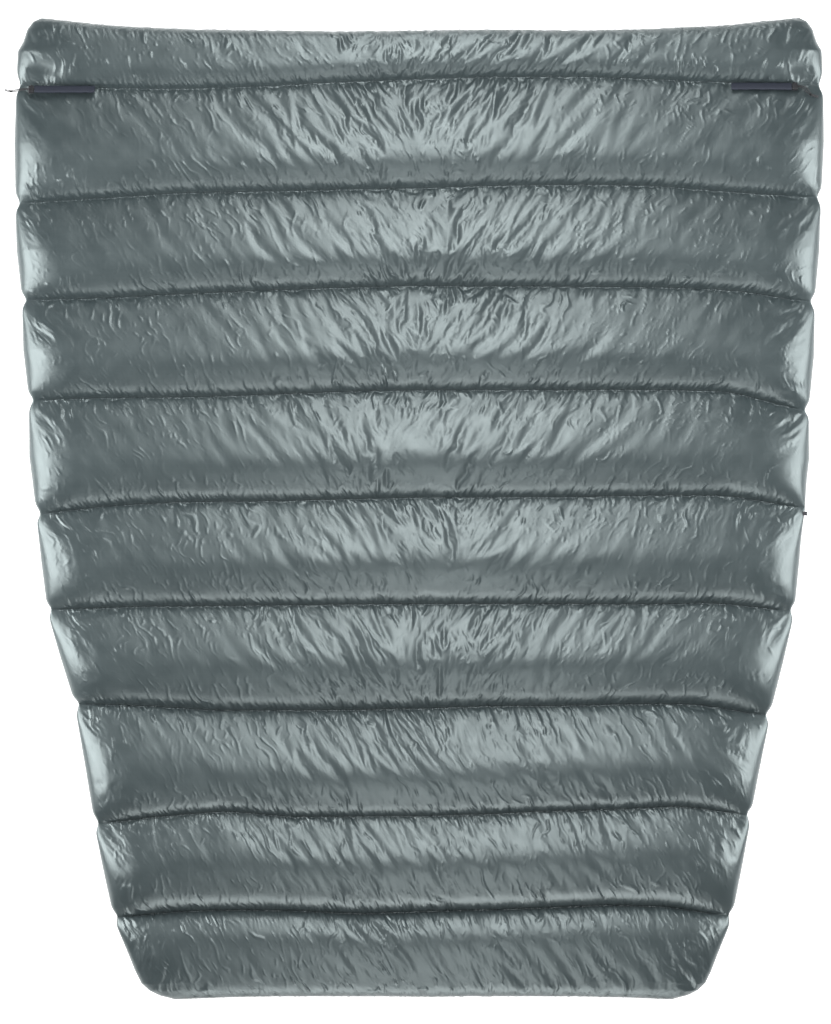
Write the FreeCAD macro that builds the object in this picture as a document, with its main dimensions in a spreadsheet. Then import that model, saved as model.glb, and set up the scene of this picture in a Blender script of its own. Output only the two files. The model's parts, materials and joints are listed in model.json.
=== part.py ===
import FreeCAD, Part
import math
import os

import Sketcher

# A two-person down camp quilt lying open and flat, shell side up. Millimetres throughout.
# +X is the sleeper's right seen from above, +Y points to the head end, +Z is up. The underside
# rests on Z = 0. Ten chambers run across the quilt. Shell and liner meet along the sewn seams
# between them, and the quilt folds there. Chambers 8 and 9 and an under layer make the foot box.

os.makedirs("parts", exist_ok=True)
doc = FreeCAD.newDocument("camp_quilt")
vector = FreeCAD.Vector

# ---------------------------------------------------------------- driving dimensions

LINES = (  # name, position along Y, half width, height of the seam above the floor
    ("head_edge", 983, 788, 22),
    ("collar_seam", 880, 815, 22),
    ("seam_2", 662, 814, 22),
    ("seam_3", 458, 801, 22),
    ("seam_4", 247, 788, 22),
    ("seam_5", 32, 775, 22),
    ("seam_6", -184, 755, 22),
    ("seam_7", -395, 702, 22),
    ("mouth_seam", -608, 661, 50),
    ("seam_9", -803, 623, 50),
    ("foot_edge", -983, 500, 50),
)
CHAMBERS = (  # name, half width midway, loft of the shell above its seams, loft of the down
    ("collar", 812, 30, 18),
    ("chamber_1", 818, 42, 22),
    ("chamber_2", 811, 42, 22),
    ("chamber_3", 799, 42, 22),
    ("chamber_4", 788, 42, 22),
    ("chamber_5", 766, 42, 22),
    ("chamber_6", 730, 42, 22),
    ("chamber_7", 681, 42, 22),
    ("chamber_8", 643, 42, 22),
    ("chamber_9", 596, 36, 22),
)
DETAILS = (
    ("skin", 0.6, "thickness of the drawn shell and liner"),
    ("rounding", 70, "width over which the side edges curve down"),
    ("seam_gap", 3, "from a seam line to the chamber on each side"),
    ("seam_rise", 1.2, "from the seam line to the top of the shell at its end"),
    ("seam_reach", 2.2, "from a seam line to the foot side of its stitched strip"),
    ("seam_half", 0.9, "half the thickness of a stitched seam"),
    ("seam_inset", 3, "from a chamber's side edge to the end of the stitching"),
    ("belly_end", 6.2, "height of the liner just inside a seam"),
    ("planed", 0.1, "how much is planed off the liner of the middle chamber"),
    ("ceiling", 43, "height of the liner over the foot box"),
    ("pocket_floor", 30, "height of the liner under the feet"),
    ("ceiling_inset", 1.6, "from the foot box's side edge to the liner over the feet"),
    ("foot_inset", 12, "the same at the foot edge"),
    ("pocket_inset", 6, "from the foot box's side edge to the liner under the feet"),
    ("down_inset", 75, "from the side edge to the down"),
    ("down_clear", 0.6, "between the down and the liner that it lies on"),
    ("under_down", 26, "loft of the down in the under layer"),
    ("under_clear", 0.1, "between that down and the shell that it lies on"),
    ("trough_flare", 52, "how much further out that down reaches at its top, on each side"),
    ("tape_length", 122, "length of a channel tape"),
    ("tape_width", 17, "width of a channel tape"),
    ("tape_height", 5.4, "height of the open channel in a tape, outside"),
    ("tape_wall", 0.5, "thickness of the tape"),
    ("cord_radius", 1.0, "radius of the drawcord"),
    ("cord_offset", 1.2, "from the lock's middle to the middle of each strand"),
    ("cord_inner", 95, "length of drawcord from the lock's middle into the channel"),
    ("lock_x", 11, "size of the lock's body along the cord"),
    ("lock_back", 9.2, "from the cord to the closed end of the lock's body"),
    ("lock_front", 6.6, "from the cord to the open end of the lock's body"),
    ("lock_z", 7.6, "thickness of the lock's body"),
    ("lock_edge", 1.6, "radius of the lock's edges"),
    ("bore_radius", 2.8, "radius of the plunger's bore"),
    ("bore_back", 8.0, "from the cord to the bottom of the bore"),
    ("plunger_radius", 2.5, "radius of the plunger"),
    ("plunger_back", 4.0, "from the cord to the plunger's inner end"),
    ("plunger_front", 9.4, "from the cord to the top of the button"),
    ("plunger_travel", 2.6, "how far the button presses in"),
    ("slot_half", 2.4, "half the length of the cord slot"),
    ("slot_height", 2.4, "height of the cord slot"),
    ("spring_radius", 1.7, "radius of the spring's wire path"),
    ("spring_wire", 0.3, "radius of the spring's wire"),
    ("spring_turns", 2.5, "turns in the spring"),
    ("loop_y", 3, "position of the edge loop along Y"),
    ("loop_x", 774.2, "position of the edge loop's back"),
    ("loop_depth", 9, "how far the edge loop stands out"),
    ("loop_width", 8, "width of the loop's webbing"),
    ("loop_height", 7, "height of the edge loop"),
    ("loop_wall", 1, "thickness of the loop's webbing"),
)
# side, +1 right and -1 left; X of the lock; distance up chamber 1's slope; strands to the knot
LOCKS = (("right", 1, 757, 14.0), ("left", -1, -789, 21.5))
LOCK_LIFT = 4.4  # from chamber 1's slope to the middle of the lock and its tape

dims = {}
sheet = doc.addObject("Spreadsheet::Sheet", "Dimensions")


def dimension(alias, number, note):
    """Puts one named size in the spreadsheet."""
    row = len(dims) + 1
    sheet.set(f"A{row}", alias)
    sheet.set(f"B{row}", str(number))
    sheet.set(f"C{row}", note)
    sheet.setAlias(f"B{row}", alias)
    dims[alias] = number


for line, along, half_width, height in LINES:
    dimension(f"{line}_y", along, f"{line}: position along Y")
    dimension(f"{line}_half", half_width, f"{line}: half width of the quilt")
    dimension(f"{line}_z", height, f"{line}: height above the floor")
for chamber, half_width, loft, down_loft in CHAMBERS:
    dimension(f"{chamber}_half", half_width, f"{chamber}: half width midway")
    dimension(f"{chamber}_loft", loft, f"{chamber}: height of the shell above its seams")
    dimension(f"{chamber}_down", down_loft, f"{chamber}: height of the down")
for alias, number, note in DETAILS:
    dimension(alias, number, note)
doc.recompute()


def total(terms):
    """The size that a tuple of (factor, alias) terms adds up to. A term may have no alias."""
    return sum(factor * (dims[alias] if alias else 1) for factor, alias in terms)


def formula(terms):
    """The same sum as an expression on the spreadsheet."""
    parts = [f"({factor})" + (f" * Dimensions.{alias}" if alias else "") for factor, alias in terms]
    return " + ".join(parts)


# ---------------------------------------------------------------- sketches and lofts


def origin_plane(body, role):
    return next(f for f in body.Origin.OriginFeatures if f.Role == role)


def cross_sketch(body, label, y_terms):
    """An empty sketch across the quilt, upright, at a position along Y."""
    sketch = body.newObject("Sketcher::SketchObject", label)
    sketch.AttachmentSupport = (origin_plane(body, "XZ_Plane"), [""])
    sketch.MapMode = "FlatFace"
    sketch.AttachmentOffset = FreeCAD.Placement(vector(0, 0, -total(y_terms)), FreeCAD.Rotation())
    sketch.setExpression("AttachmentOffset.Base.z", f"-({formula(y_terms)})")
    return sketch


def bind(sketch, names_and_terms):
    """Names the last constraints of a sketch, in order, and ties each to its terms."""
    first = sketch.ConstraintCount - len(names_and_terms)
    for step, (name, terms) in enumerate(names_and_terms):
        sketch.renameConstraint(first + step, name)
        sketch.setExpression(f"Constraints.{name}", formula(terms))


def skin_section(body, label, y_terms, half_terms, edge_terms, crown_terms):
    """A section of shell or liner: flat across the middle, with arcs to the edge at each side.

    The arcs fall from a crown above the edge, on a shell, or rise from one below it, on a liner.
    """
    sketch = cross_sketch(body, label, y_terms)
    half, edge, crown = total(half_terms), total(edge_terms), total(crown_terms)
    side = 1 if crown > edge else -1
    rounding, skin = dims["rounding"], dims["skin"]
    rise = abs(crown - edge)
    outer = (rounding ** 2 + rise ** 2) / (2 * rise)
    inner = outer - skin
    arc_x = half - rounding
    arc_z = crown - side * outer
    inner_z = crown - side * skin
    outer_angle = math.asin((outer - rise) / outer)
    inner_angle = math.asin((outer - rise) / inner)
    inner_half = arc_x + inner * math.cos(inner_angle)

    def arc(x_side, radius, edge_angle):
        """One quarter arc. x_side is +1 on the right."""
        ends = sorted((side * math.pi / 2, side * edge_angle))
        if x_side < 0:
            ends = sorted(side * math.pi - end for end in ends)
        circle = Part.Circle(vector(x_side * arc_x, arc_z, 0), vector(0, 0, 1), radius)
        return Part.ArcOfCircle(circle, ends[0], ends[1])

    near, far = (1, 2) if side > 0 else (2, 1)
    sketch.addGeometry([
        arc(1, outer, outer_angle),
        Part.LineSegment(vector(arc_x, crown, 0), vector(-arc_x, crown, 0)),
        arc(-1, outer, outer_angle),
        Part.LineSegment(vector(-half, edge, 0), vector(-inner_half, edge, 0)),
        arc(-1, inner, inner_angle),
        Part.LineSegment(vector(-arc_x, inner_z, 0), vector(arc_x, inner_z, 0)),
        arc(1, inner, inner_angle),
        Part.LineSegment(vector(inner_half, edge, 0), vector(half, edge, 0)),
    ], False)
    rule = Sketcher.Constraint
    sketch.addConstraint([
        rule("Tangent", 0, far, 1, 1),
        rule("Tangent", 1, 2, 2, near),
        rule("Coincident", 2, far, 3, 1),
        rule("Coincident", 3, 2, 4, far),
        rule("Tangent", 4, near, 5, 1),
        rule("Tangent", 5, 2, 6, far),
        rule("Coincident", 6, near, 7, 1),
        rule("Coincident", 7, 2, 0, near),
        rule("Coincident", 0, 3, 6, 3),
        rule("Coincident", 2, 3, 4, 3),
        rule("Horizontal", 1),
        rule("Horizontal", 3),
        rule("Horizontal", 5),
        rule("Horizontal", 7),
        rule("Symmetric", 0, 3, 2, 3, -2),
        rule("Horizontal", 0, near, 2, far),
        rule("DistanceX", -1, 1, 0, near, half),
        rule("DistanceX", -1, 1, 0, 3, arc_x),
        rule("DistanceY", -1, 1, 0, near, edge),
        rule("DistanceY", -1, 1, 0, far, crown),
        rule("DistanceY", -1, 1, 6, far, inner_z),
    ])
    bind(sketch, (
        ("HalfWidth", half_terms),
        ("ArcCentre", half_terms + ((-1, "rounding"),)),
        ("EdgeHeight", edge_terms),
        ("CrownHeight", crown_terms),
        ("InnerHeight", crown_terms + ((-side, "skin"),)),
    ))
    return sketch


def box_section(body, label, y_terms, half_terms, low_terms, high_terms):
    """A rectangular section, the same on both sides of the middle."""
    sketch = cross_sketch(body, label, y_terms)
    half, low, high = total(half_terms), total(low_terms), total(high_terms)
    corners = [(-half, low), (half, low), (half, high), (-half, high)]
    points = [vector(x, z, 0) for x, z in corners]
    rule = Sketcher.Constraint
    sketch.addGeometry([Part.LineSegment(points[n], points[(n + 1) % 4]) for n in range(4)], False)
    sketch.addConstraint([rule("Coincident", n, 2, (n + 1) % 4, 1) for n in range(4)])
    sketch.addConstraint([
        rule("Vertical", 1),
        rule("Vertical", 3),
        rule("Horizontal", 2),
        rule("Symmetric", 0, 1, 0, 2, -2),
        rule("DistanceX", -1, 1, 0, 2, half),
        rule("DistanceY", -1, 1, 0, 2, low),
        rule("DistanceY", -1, 1, 2, 1, high),
    ])
    bind(sketch, (("HalfWidth", half_terms), ("Low", low_terms), ("High", high_terms)))
    return sketch


def trough_section(body, label, y_terms, half_terms, low_terms, high_terms):
    """A section with a flat bottom, a wider flat top and straight sloping sides."""
    sketch = cross_sketch(body, label, y_terms)
    half, low, high = total(half_terms), total(low_terms), total(high_terms)
    wide = half + dims["trough_flare"]
    corners = [(-half, low), (half, low), (wide, high), (-wide, high)]
    points = [vector(x, z, 0) for x, z in corners]
    rule = Sketcher.Constraint
    sketch.addGeometry([Part.LineSegment(points[n], points[(n + 1) % 4]) for n in range(4)], False)
    sketch.addConstraint([rule("Coincident", n, 2, (n + 1) % 4, 1) for n in range(4)])
    sketch.addConstraint([
        rule("Symmetric", 0, 1, 0, 2, -2),
        rule("Symmetric", 2, 1, 2, 2, -2),
        rule("DistanceX", -1, 1, 0, 2, half),
        rule("DistanceX", -1, 1, 2, 1, wide),
        rule("DistanceY", -1, 1, 0, 2, low),
        rule("DistanceY", -1, 1, 2, 1, high),
    ])
    bind(sketch, (
        ("BottomHalfWidth", half_terms),
        ("TopHalfWidth", half_terms + ((1, "trough_flare"),)),
        ("Low", low_terms),
        ("High", high_terms),
    ))
    return sketch


def loft_through(body, sketches):
    """A straight-sided loft through sections in order."""
    loft = body.newObject("PartDesign::AdditiveLoft", f"{body.Name}_loft")
    loft.Profile = (sketches[0], [""])
    loft.Sections = [(sketch, [""]) for sketch in sketches[1:]]
    loft.Ruled = True
    return loft


# ---------------------------------------------------------------- chambers

SHELL_STATIONS = ((0, 0), (0.1, 0.36), (0.25, 0.75), (0.5, 1), (0.75, 0.75), (0.9, 0.36), (1, 0))
LINER_STATIONS = (0.12, 0.3, 0.7, 0.88)
DOWN_STATIONS = (0.2, 0.5, 0.8)

pieces = []


def new_body(name):
    body = doc.addObject("PartDesign::Body", name)
    body.Label = name
    pieces.append(body)
    return body


def y_at(head, foot, share):
    """Position along Y of a share of a chamber's length, which starts and ends at its seam gaps."""
    return (
        (1 - share, f"{head}_y"),
        (share, f"{foot}_y"),
        (-(1 - share) * end_gap(head), "seam_gap"),
        (share * end_gap(foot), "seam_gap"),
    )


def end_gap(line):
    """1 at a seam, 0 at the quilt's own head and foot edges."""
    return 0 if line in ("head_edge", "foot_edge") else 1


def half_at(head, chamber, foot, share):
    """Half width at that share, on the parabola through the two seams and the middle."""
    return (
        ((1 - share) * (1 - 2 * share), f"{head}_half"),
        (4 * share * (1 - share), f"{chamber}_half"),
        (share * (2 * share - 1), f"{foot}_half"),
    )


def z_at(head, foot, share):
    return ((1 - share, f"{head}_z"), (share, f"{foot}_z"))


def make_shell(name, chamber, head, foot):
    body = new_body(name)
    sketches = []
    for number, (share, rise) in enumerate(SHELL_STATIONS):
        edge = z_at(head, foot, share)
        crown = edge + ((1, "seam_rise"), (rise, f"{chamber}_loft"))
        half = half_at(head, chamber, foot, share)
        label = f"{name}_section_{number}"
        sketches.append(skin_section(body, label, y_at(head, foot, share), half, edge, crown))
    loft_through(body, sketches)


def make_liner(name, chamber, head, foot, belly):
    """belly gives the liner's height at each of LINER_STATIONS, as terms."""
    body = new_body(name)
    ends = [z_at(head, foot, share) + ((-1, "seam_rise"),) for share in (0, 1)]
    crowns = [ends[0], *belly, ends[1]]
    sketches = []
    for number, (share, crown) in enumerate(zip((0, *LINER_STATIONS, 1), crowns)):
        half = half_at(head, chamber, foot, share)
        if belly is CEILING:
            at_foot_edge = foot == "foot_edge" and share == 1
            half += ((-1, "foot_inset" if at_foot_edge else "ceiling_inset"),)
        label = f"{name}_section_{number}"
        place = y_at(head, foot, share)
        sketches.append(skin_section(body, label, place, half, z_at(head, foot, share), crown))
    loft_through(body, sketches)
    if belly is PLANED:
        below = body.newObject("PartDesign::SubtractiveBox", f"{name}_below_floor")
        below.setExpression("Length", f"2 * Dimensions.{chamber}_half")
        below.setExpression("Width", f"Dimensions.{head}_y - Dimensions.{foot}_y")
        below.setExpression("Height", "10 * Dimensions.planed")
        corner = vector(-dims[f"{chamber}_half"], dims[f"{foot}_y"], -10 * dims["planed"])
        below.Placement = FreeCAD.Placement(corner, FreeCAD.Rotation())


def make_down(name, chamber, head, foot, floor):
    """floor gives the height of the liner under the down at each of DOWN_STATIONS, as terms."""
    body = new_body(name)
    sketches = []
    for number, (share, under) in enumerate(zip(DOWN_STATIONS, floor)):
        low = under + ((1, "skin"), (1, "down_clear"))
        high = low + ((1, f"{chamber}_down"),)
        half = half_at(head, chamber, foot, share) + ((-1, "down_inset"),)
        label = f"{name}_section_{number}"
        sketches.append(box_section(body, label, y_at(head, foot, share), half, low, high))
    loft_through(body, sketches)


ON_FLOOR = (((1, "belly_end"),), ((0, None),), ((0, None),), ((1, "belly_end"),))
PLANED = (((1, "belly_end"),), ((-1, "planed"),), ((-1, "planed"),), ((1, "belly_end"),))
LIFTING = (((0, None),), ((0, None),), ((12, None),), ((30, None),))
CEILING = (((1, "ceiling"), (1, None)), ((1, "ceiling"),), ((1, "ceiling"),), ((1, "ceiling"), (1, None)))
FLAT_FLOOR = (((3, None),), ((0, None),), ((3, None),))
RISING_FLOOR = (((0, None),), ((6.5, None),), ((22.5, None),))
CEILING_FLOOR = (((1, "ceiling"), (1, None)), ((1, "ceiling"),), ((1, "ceiling"), (1, None)))
BELLIES = {"chamber_4": PLANED, "chamber_7": LIFTING, "chamber_8": CEILING, "chamber_9": CEILING}
FLOORS = {"chamber_7": RISING_FLOOR, "chamber_8": CEILING_FLOOR, "chamber_9": CEILING_FLOOR}

for number, (chamber, _, _, _) in enumerate(CHAMBERS):
    head_line, foot_line = LINES[number][0], LINES[number + 1][0]
    make_shell(f"{chamber}_shell", chamber, head_line, foot_line)
    make_liner(
        f"{chamber}_liner", chamber, head_line, foot_line, BELLIES.get(chamber, ON_FLOOR)
    )
    make_down(f"{chamber}_down", chamber, head_line, foot_line, FLOORS.get(chamber, FLAT_FLOOR))

# ---------------------------------------------------------------- stitched seams

for line, _, _, _ in LINES[1:-1]:
    seam = new_body(f"{line}_stitching")
    half_terms = ((1, f"{line}_half"), (-1, "seam_inset"))
    low_terms = ((1, f"{line}_z"), (-1, "seam_half"))
    high_terms = ((1, f"{line}_z"), (1, "seam_half"))
    ends = ((1, f"{line}_y"), (1, "seam_gap")), ((1, f"{line}_y"), (-1, "seam_reach"))
    loft_through(seam, [
        box_section(seam, f"{line}_stitching_{end}", place, half_terms, low_terms, high_terms)
        for end, place in enumerate(ends)
    ])

# ---------------------------------------------------------------- under layer of the foot box

# It has the outline of chambers 8 and 9. Each row gives a share of one of them, and the heights
# there of the shell below and of the liner under the feet, which stops short of the foot edge.
UNDER_LAYER = (
    ("chamber_8", 0, 9, 12),
    ("chamber_8", 0.1, 0, 24),
    ("chamber_8", 0.25, 0, 29),
    ("chamber_8", 0.5, 0, 30),
    ("chamber_8", 0.75, 0, 30),
    ("chamber_8", 0.9, 0, 30),
    ("chamber_8", 1, 0, 30),
    ("chamber_9", 0.1, 0, 30),
    ("chamber_9", 0.25, 0, 30),
    ("chamber_9", 0.5, 0, 30),
    ("chamber_9", 0.75, 8, 33),
    ("chamber_9", 0.9, 26, 40),
    ("chamber_9", 1, 47.2, None),
)
SPANS = {"chamber_8": ("mouth_seam", "seam_9"), "chamber_9": ("seam_9", "foot_edge")}
POCKET_EDGE = ((1, "pocket_floor"), (14.5, None))


def under_section(maker, body, number, chamber, share, inset, low, high):
    head, foot = SPANS[chamber]
    half = half_at(head, chamber, foot, share) + inset
    label = f"{body.Name}_section_{number}"
    return maker(body, label, y_at(head, foot, share), half, low, high)


under_shell = new_body("foot_box_under_shell")
loft_through(under_shell, [
    under_section(
        skin_section, under_shell, number, chamber, share, (), ((1, "mouth_seam_z"),), ((bottom, None),)
    )
    for number, (chamber, share, bottom, _) in enumerate(UNDER_LAYER)
])

under_liner = new_body("foot_box_under_liner")
loft_through(under_liner, [
    under_section(
        skin_section, under_liner, number, chamber, share,
        ((-1, "pocket_inset"), (-max(0, bottom - 6) / 2, None)), POCKET_EDGE, ((floor, None),)
    )
    for number, (chamber, share, bottom, floor) in enumerate(UNDER_LAYER[:-1])
])

under_down = new_body("foot_box_under_down")
UNDER_DOWN = (("chamber_8", 0.25), ("chamber_8", 0.5), ("chamber_9", 0.1), ("chamber_9", 0.5))
down_low = ((1, "skin"), (1, "under_clear"))
loft_through(under_down, [
    under_section(
        trough_section, under_down, number, chamber, share, ((-1, "down_inset"),),
        down_low, down_low + ((1, "under_down"),)
    )
    for number, (chamber, share) in enumerate(UNDER_DOWN)
])

# ---------------------------------------------------------------- drawcord channels and cord locks

# chamber 1's shell rises from the collar seam in a straight slope as far as its second section
slope_run = 0.1 * (dims["collar_seam_y"] - dims["seam_2_y"] - 2 * dims["seam_gap"])
SLOPE = math.atan2(0.36 * dims["chamber_1_loft"], slope_run)
slope_y = dims["collar_seam_y"] - dims["seam_gap"]
slope_z = dims["collar_seam_z"] + dims["seam_rise"]


def lock_placement(lock_x, up_slope):
    """The lock's frame: X along the quilt's width, Y down the slope to the seam, Z away from it."""
    place = vector(
        lock_x,
        slope_y - up_slope * math.cos(SLOPE) + LOCK_LIFT * math.sin(SLOPE),
        slope_z + up_slope * math.sin(SLOPE) + LOCK_LIFT * math.cos(SLOPE),
    )
    return FreeCAD.Placement(place, FreeCAD.Rotation(vector(1, 0, 0), -math.degrees(SLOPE)))


def keep(feature, name, placement=None):
    """Labels a finished sub-part and puts it in its place."""
    feature.Label = name
    if placement is not None:
        feature.Placement = placement
    pieces.append(feature)


def primitive(kind, name, sizes, at, rotation=None):
    """A Part primitive whose sizes are expressions on the spreadsheet."""
    feature = doc.addObject(kind, name)
    for size, expression in sizes.items():
        feature.setExpression(size, expression)
    feature.Placement = FreeCAD.Placement(at, rotation or FreeCAD.Rotation())
    return feature


def cut(name, base, tool):
    feature = doc.addObject("Part::Cut", name)
    feature.Base = base
    feature.Tool = tool
    return feature


def box(name, size_x, size_y, size_z, low_y):
    """A box centred on X and Z, that starts at low_y."""
    feature = primitive("Part::Box", name, {"Length": size_x, "Width": size_y, "Height": size_z}, vector())
    doc.recompute()
    length, height = feature.Length.Value, feature.Height.Value
    feature.Placement = FreeCAD.Placement(vector(-length / 2, low_y, -height / 2), FreeCAD.Rotation())
    return feature


TO_Y = FreeCAD.Rotation(vector(1, 0, 0), -90)  # turns a primitive's own Z to +Y
TO_X = FreeCAD.Rotation(vector(0, 1, 0), 90)  # turns it to +X


def slot_profile(sketch, half_length, radius):
    """A closed slot, long across the sketch, centred on its origin. Returns its geometry's number."""
    first = sketch.GeometryCount
    centre = half_length - radius
    axis = vector(0, 0, 1)
    quarter = math.pi / 2
    sketch.addGeometry([
        Part.ArcOfCircle(Part.Circle(vector(centre, 0, 0), axis, radius), -quarter, quarter),
        Part.LineSegment(vector(centre, radius, 0), vector(-centre, radius, 0)),
        Part.ArcOfCircle(Part.Circle(vector(-centre, 0, 0), axis, radius), quarter, 3 * quarter),
        Part.LineSegment(vector(-centre, -radius, 0), vector(centre, -radius, 0)),
    ], False)
    rule = Sketcher.Constraint
    for side in range(4):
        sketch.addConstraint(rule("Tangent", first + side, 2, first + (side + 1) % 4, 1))
    sketch.addConstraint(rule("Horizontal", first + 1))
    sketch.addConstraint(rule("Symmetric", first, 3, first + 2, 3, -1, 1))
    return first


def make_tape(side_name, placement, direction):
    """A flat tube of tape, open at both ends, along the side of the lock nearer the middle."""
    body = new_body(f"channel_tape_{side_name}")
    sketch = body.newObject("Sketcher::SketchObject", f"channel_tape_{side_name}_section")
    sketch.AttachmentSupport = (origin_plane(body, "YZ_Plane"), [""])
    sketch.MapMode = "FlatFace"
    width, height, wall = dims["tape_width"], dims["tape_height"], dims["tape_wall"]
    rule = Sketcher.Constraint
    for name, wide, high, shrink in (
        ("Outer", width, height, 0),
        ("Inner", width - 2 * wall, height - 2 * wall, -1),
    ):
        first = slot_profile(sketch, wide / 2, high / 2)
        sketch.addConstraint(rule("Radius", first, high / 2))
        sketch.addConstraint(rule("DistanceX", first + 2, 3, first, 3, wide - high))
        bind(sketch, (
            (f"{name}Radius", ((0.5, "tape_height"), (shrink, "tape_wall"))),
            (f"{name}Centres", ((1, "tape_width"), (-1, "tape_height"))),
        ))
    pad = body.newObject("PartDesign::Pad", f"channel_tape_{side_name}_length")
    pad.Profile = sketch
    pad.setExpression("Length", "Dimensions.tape_length")
    pad.Reversed = direction > 0
    start = vector(-direction * (dims["lock_x"] / 2 + 1), 0, 0)
    body.Placement = placement.multiply(FreeCAD.Placement(start, FreeCAD.Rotation()))


def make_lock(side_name, placement):
    """A sprung lock: a body with a cross slot for two strands, a plunger with its own, a spring."""
    size_y = "Dimensions.lock_back + Dimensions.lock_front"
    block = box(f"block_{side_name}", "Dimensions.lock_x", size_y, "Dimensions.lock_z", -dims["lock_back"])
    rounded = doc.addObject("Part::Fillet", f"rounded_block_{side_name}")
    rounded.Base = block
    doc.recompute()
    edge_count = len(block.Shape.Edges)
    rounded.Edges = [(edge + 1, dims["lock_edge"], dims["lock_edge"]) for edge in range(edge_count)]
    bore = primitive("Part::Cylinder", f"bore_{side_name}", {
        "Radius": "Dimensions.bore_radius",
        "Height": "Dimensions.bore_back + Dimensions.lock_front + 1",
    }, vector(0, -dims["bore_back"], 0), TO_Y)
    bored = cut(f"bored_block_{side_name}", rounded, bore)
    body_slot = box(
        f"body_slot_{side_name}", "Dimensions.lock_x + 2", "2 * Dimensions.slot_half",
        "Dimensions.slot_height", -dims["slot_half"]
    )
    keep(cut(f"slotted_block_{side_name}", bored, body_slot), f"cord_lock_body_{side_name}", placement)

    rod = primitive("Part::Cylinder", f"rod_{side_name}", {
        "Radius": "Dimensions.plunger_radius",
        "Height": "Dimensions.plunger_back + Dimensions.plunger_front",
    }, vector(0, -dims["plunger_back"], 0), TO_Y)
    rod_slot = box(
        f"rod_slot_{side_name}", "Dimensions.lock_x + 2",
        "2 * Dimensions.slot_half + Dimensions.plunger_travel", "Dimensions.slot_height",
        -dims["slot_half"]
    )
    slotted = cut(f"slotted_rod_{side_name}", rod, rod_slot)
    keep(slotted, f"cord_lock_plunger_{side_name}", placement)

    seat = FreeCAD.Placement(vector(0, dims["spring_wire"] - dims["bore_back"], 0), TO_Y)
    make_spring(side_name, placement.multiply(seat))


def make_spring(side_name, placement):
    """A coil of round wire along its own Z, between the bottom of the bore and the plunger."""
    body = new_body(f"cord_lock_spring_{side_name}")
    sketch = body.newObject("Sketcher::SketchObject", f"spring_wire_{side_name}")
    sketch.AttachmentSupport = (origin_plane(body, "XZ_Plane"), [""])
    sketch.MapMode = "FlatFace"
    centre = vector(dims["spring_radius"], 0, 0)
    sketch.addGeometry(Part.Circle(centre, vector(0, 0, 1), dims["spring_wire"]), False)
    rule = Sketcher.Constraint
    sketch.addConstraint([
        rule("PointOnObject", 0, 3, -1),
        rule("DistanceX", -1, 1, 0, 3, dims["spring_radius"]),
        rule("Radius", 0, dims["spring_wire"]),
    ])
    bind(sketch, (("CoilRadius", ((1, "spring_radius"),)), ("WireRadius", ((1, "spring_wire"),))))
    coil = body.newObject("PartDesign::AdditiveHelix", f"spring_coil_{side_name}")
    coil.Profile = sketch
    coil.ReferenceAxis = (sketch, ["V_Axis"])
    length = "(Dimensions.bore_back - Dimensions.plunger_back - 2 * Dimensions.spring_wire)"
    coil.setExpression("Pitch", f"{length} / Dimensions.spring_turns")
    coil.setExpression("Height", length)
    body.Placement = placement


def make_inner_cord(side_name, placement, direction):
    """The two straight strands in the channel and through the lock, to its outer face."""
    outer_end = dims["lock_x"] / 2 + 0.5
    strands = []
    for strand, side in (("upper", 1), ("lower", -1)):
        start = -dims["cord_inner"] if direction > 0 else -outer_end
        strands.append(primitive("Part::Cylinder", f"channel_strand_{strand}_{side_name}", {
            "Radius": "Dimensions.cord_radius",
            "Height": "Dimensions.cord_inner + Dimensions.lock_x / 2 + 0.5",
        }, vector(start, side * dims["cord_offset"], 0), TO_X))
    group = doc.addObject("Part::Compound", f"channel_strands_{side_name}")
    group.Links = strands
    keep(group, f"drawcord_in_channel_{side_name}", placement)


lock_frames = {}
for side_name, direction, lock_x, up_slope in LOCKS:
    frame = lock_placement(lock_x, up_slope)
    lock_frames[side_name] = frame
    make_tape(side_name, frame, direction)
    make_lock(side_name, frame)
    make_inner_cord(side_name, frame, direction)

# ---------------------------------------------------------------- free ends of the drawcords


def rounded_route(points):
    """Straight runs joined by tangent arcs. Each arc is as large as its two runs allow."""
    edges = []
    radii = []
    start = points[0]
    for before, corner, after in zip(points, points[1:], points[2:]):
        arriving = (corner - before).normalize()
        leaving = (after - corner).normalize()
        half_turn = arriving.getAngle(leaving) / 2
        tangent = 0.45 * min((corner - before).Length, (after - corner).Length)
        radius = tangent / math.tan(half_turn)
        radii.append(radius)
        first = corner - arriving * tangent
        last = corner + leaving * tangent
        inward = (leaving - arriving).normalize()
        middle = corner + inward * (radius / math.cos(half_turn) - radius)
        edges.append(Part.LineSegment(start, first).toShape())
        edges.append(Part.Arc(first, middle, last).toShape())
        start = last
    edges.append(Part.LineSegment(start, points[-1]).toShape())
    return Part.Wire(edges), radii


# each strand leaves the lock straight, meets the other at the knot and ends beside it
STRAIGHT_OUT = 6
STRANDS = {
    "right": {
        "upper": ((777.5, 867.4, 36.8), (784.4, 860.0, 38.8), (788.8, 852.4, 39.2), (796.5, 849.7, 36.4),
                  (805.0, 848.5, 32.2)),
        "lower": ((775.6, 862.0, 39.2), (781.2, 855.4, 40.0), (788.0, 850.0, 39.6), (796.2, 847.3, 36.6),
                  (804.6, 846.1, 32.4)),
    },
    "left": {
        "upper": ((-811.0, 862.8, 37.2), (-821.0, 860.9, 33.8), (-830.6, 859.6, 29.2), (-837.6, 861.0, 26.0),
                  (-844.0, 863.1, 23.6)),
        "lower": ((-811.0, 859.8, 38.6), (-821.0, 857.8, 34.8), (-830.6, 857.0, 29.8), (-837.6, 858.5, 26.6),
                  (-843.6, 860.6, 24.2)),
    },
}
KNOT_POINT = 2  # of the points above
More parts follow.
